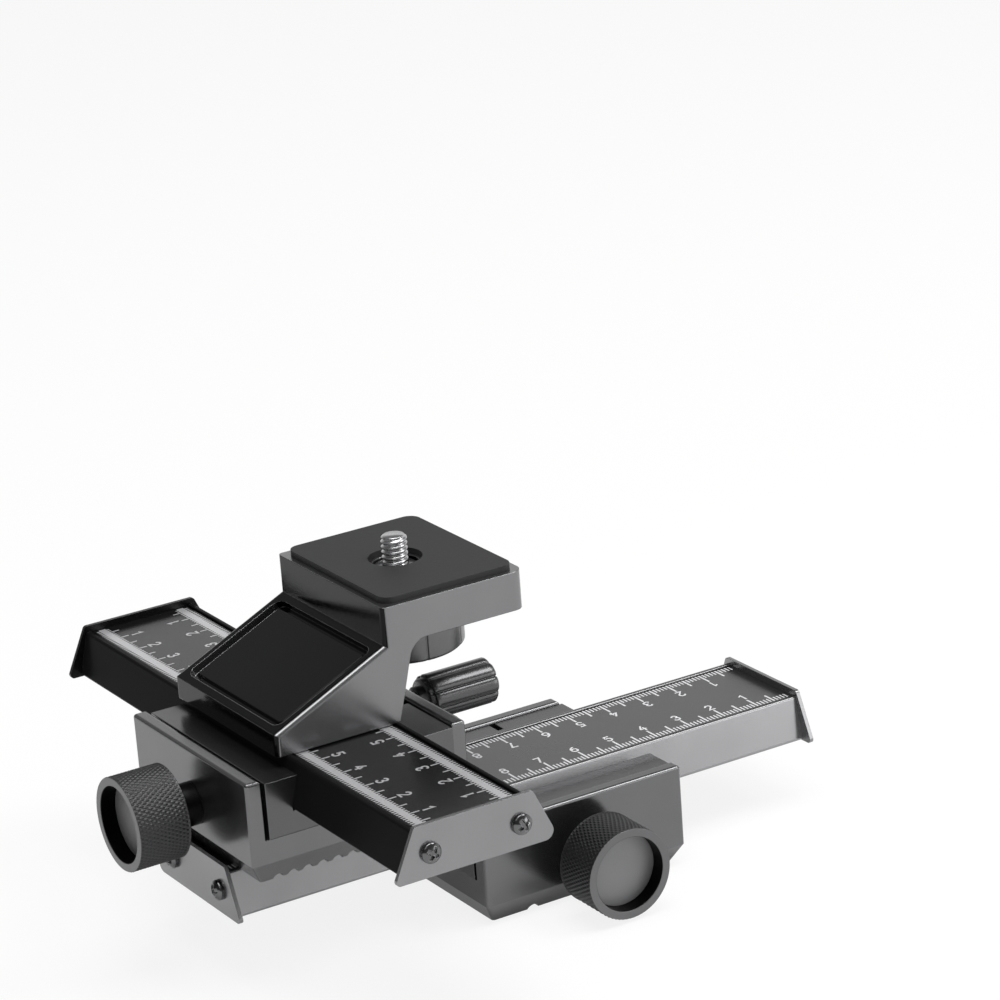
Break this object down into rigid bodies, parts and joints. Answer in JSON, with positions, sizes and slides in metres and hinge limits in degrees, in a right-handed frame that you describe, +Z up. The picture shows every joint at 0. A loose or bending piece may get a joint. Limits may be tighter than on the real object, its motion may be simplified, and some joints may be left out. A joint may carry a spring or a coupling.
{
  "type": "macro focusing rail",
  "caption": "Macro focusing rail: crosswise geared dovetail slides, each with drive knob, lock knob and ruler scale, under a raised camera bracket with a captive screw.",
  "frame": {"origin": "mouth of the tripod socket, at the underside of the lower carriage", "axes": "+Z up towards the camera, +Y along the lower rail towards its long end, +X along the upper rail towards the lower stage's drive knob"},
  "size_m": [0.1658, 0.1821, 0.0905],
  "materials": {
    "carriage": "satin",
    "gib": "satin",
    "end_plate": "satin",
    "screw": "satin",
    "plated_screw": "polished",
    "gear_steel": "satin",
    "bronze": "satin",
    "wall_bush": "satin",
    "drive_knob": "satin",
    "knob_disc": "satin",
    "lock_screw": "satin",
    "lock_knob": "gloss",
    "lower_rail": "satin",
    "upper_rail": "satin",
    "lower_scale": "satin",
    "upper_scale": "satin",
    "insert": "satin",
    "camera_bracket": "satin",
    "bracket_panel": "gloss",
    "thumbwheel": "satin",
    "camera_screw": "satin",
    "camera_pad": "matte"
  },
  "bodies": {
    "base": {"lower_carriage": "carriage", "lower_drive_gib": "gib", "lower_lock_gib": "gib", "lower_gib_screws": "screw", "lower_wall_bush": "wall_bush", "lower_inner_bush": "bronze", "tripod_insert": "insert"},
    "lower_slide": {"lower_rail": "lower_rail", "lower_scale_plate": "lower_scale", "lower_rack": "gear_steel", "lower_rack_screws": "screw", "lower_near_end_plate": "end_plate", "lower_far_end_plate": "end_plate", "lower_end_plate_screws": "plated_screw", "stage_screws": "screw", "upper_carriage": "carriage", "upper_drive_gib": "gib", "upper_lock_gib": "gib", "upper_gib_screws": "screw", "upper_wall_bush": "wall_bush", "upper_inner_bush": "bronze"},
    "upper_slide": {"upper_rail": "upper_rail", "upper_scale_plate": "upper_scale", "upper_rack": "gear_steel", "upper_rack_screws": "screw", "upper_near_end_plate": "end_plate", "upper_far_end_plate": "end_plate", "upper_end_plate_screws": "plated_screw", "camera_bracket": "camera_bracket", "bracket_panel": "bracket_panel", "bracket_screws": "screw", "camera_pad": "camera_pad"},
    "lower_drive": {"lower_spindle": "gear_steel", "lower_pinion": "gear_steel", "lower_drive_knob": "drive_knob", "lower_knob_disc": "knob_disc", "lower_knob_set_screw": "screw"},
    "upper_drive": {"upper_spindle": "gear_steel", "upper_pinion": "gear_steel", "upper_drive_knob": "drive_knob", "upper_knob_disc": "knob_disc", "upper_knob_set_screw": "screw"},
    "lower_lock_pad": {"lower_lock_pad": "bronze"},
    "lower_lock": {"lower_lock_screw": "lock_screw", "lower_lock_knob": "lock_knob"},
    "upper_lock_pad": {"upper_lock_pad": "bronze"},
    "upper_lock": {"upper_lock_screw": "lock_screw", "upper_lock_knob": "lock_knob"},
    "camera_fixing": {"camera_thumbwheel": "thumbwheel", "camera_screw": "camera_screw", "camera_screw_clip": "camera_screw"}
  },
  "joints": [
    {"name": "lower_rail_slide", "type": "slide", "parent": "base", "child": "lower_slide", "axis": [0, 1, 0], "range_m": [-0.0434, 0.0592]},
    {"name": "upper_rail_slide", "type": "slide", "parent": "lower_slide", "child": "upper_slide", "axis": [1, 0, 0], "range_m": [-0.0499, 0.0527]},
    {"name": "lower_drive_turn", "type": "hinge", "parent": "base", "child": "lower_drive", "pos_m": [0.04, 0, 0.0123], "axis": [1, 0, 0], "range_deg": [-809, 594]},
    {"name": "upper_drive_turn", "type": "hinge", "parent": "lower_slide", "child": "upper_drive", "pos_m": [0, -0.0986, 0.0398], "axis": [0, 1, 0], "range_deg": [-682, 720]},
    {"name": "lower_lock_pad_slide", "type": "slide", "parent": "base", "child": "lower_lock_pad", "axis": [1, 0, 0], "range_m": [0, 0.00078]},
    {"name": "lower_lock_turn", "type": "hinge", "parent": "lower_lock_pad", "child": "lower_lock", "pos_m": [-0.04, 0, 0.0212], "axis": [1, 0, 0], "range_deg": [0, 352]},
    {"name": "upper_lock_pad_slide", "type": "slide", "parent": "lower_slide", "child": "upper_lock_pad", "axis": [0, -1, 0], "range_m": [0, 0.00078]},
    {"name": "upper_lock_turn", "type": "hinge", "parent": "upper_lock_pad", "child": "upper_lock", "pos_m": [0, -0.0186, 0.0487], "axis": [0, -1, 0], "range_deg": [0, 352]},
    {"name": "camera_screw_turn", "type": "hinge", "parent": "upper_slide", "child": "camera_fixing", "pos_m": [-0.0021, -0.0279, 0.075], "axis": [0, 0, 1], "continuous": true}
  ],
  "couplings": [
    {"joint": "lower_drive_turn", "follows": "lower_rail_slide", "rad_per_m": -238.1},
    {"joint": "upper_drive_turn", "follows": "upper_rail_slide", "rad_per_m": 238.1},
    {"joint": "lower_lock_turn", "follows": "lower_lock_pad_slide", "rad_per_m": 7854},
    {"joint": "upper_lock_turn", "follows": "upper_lock_pad_slide", "rad_per_m": 7854}
  ]
}
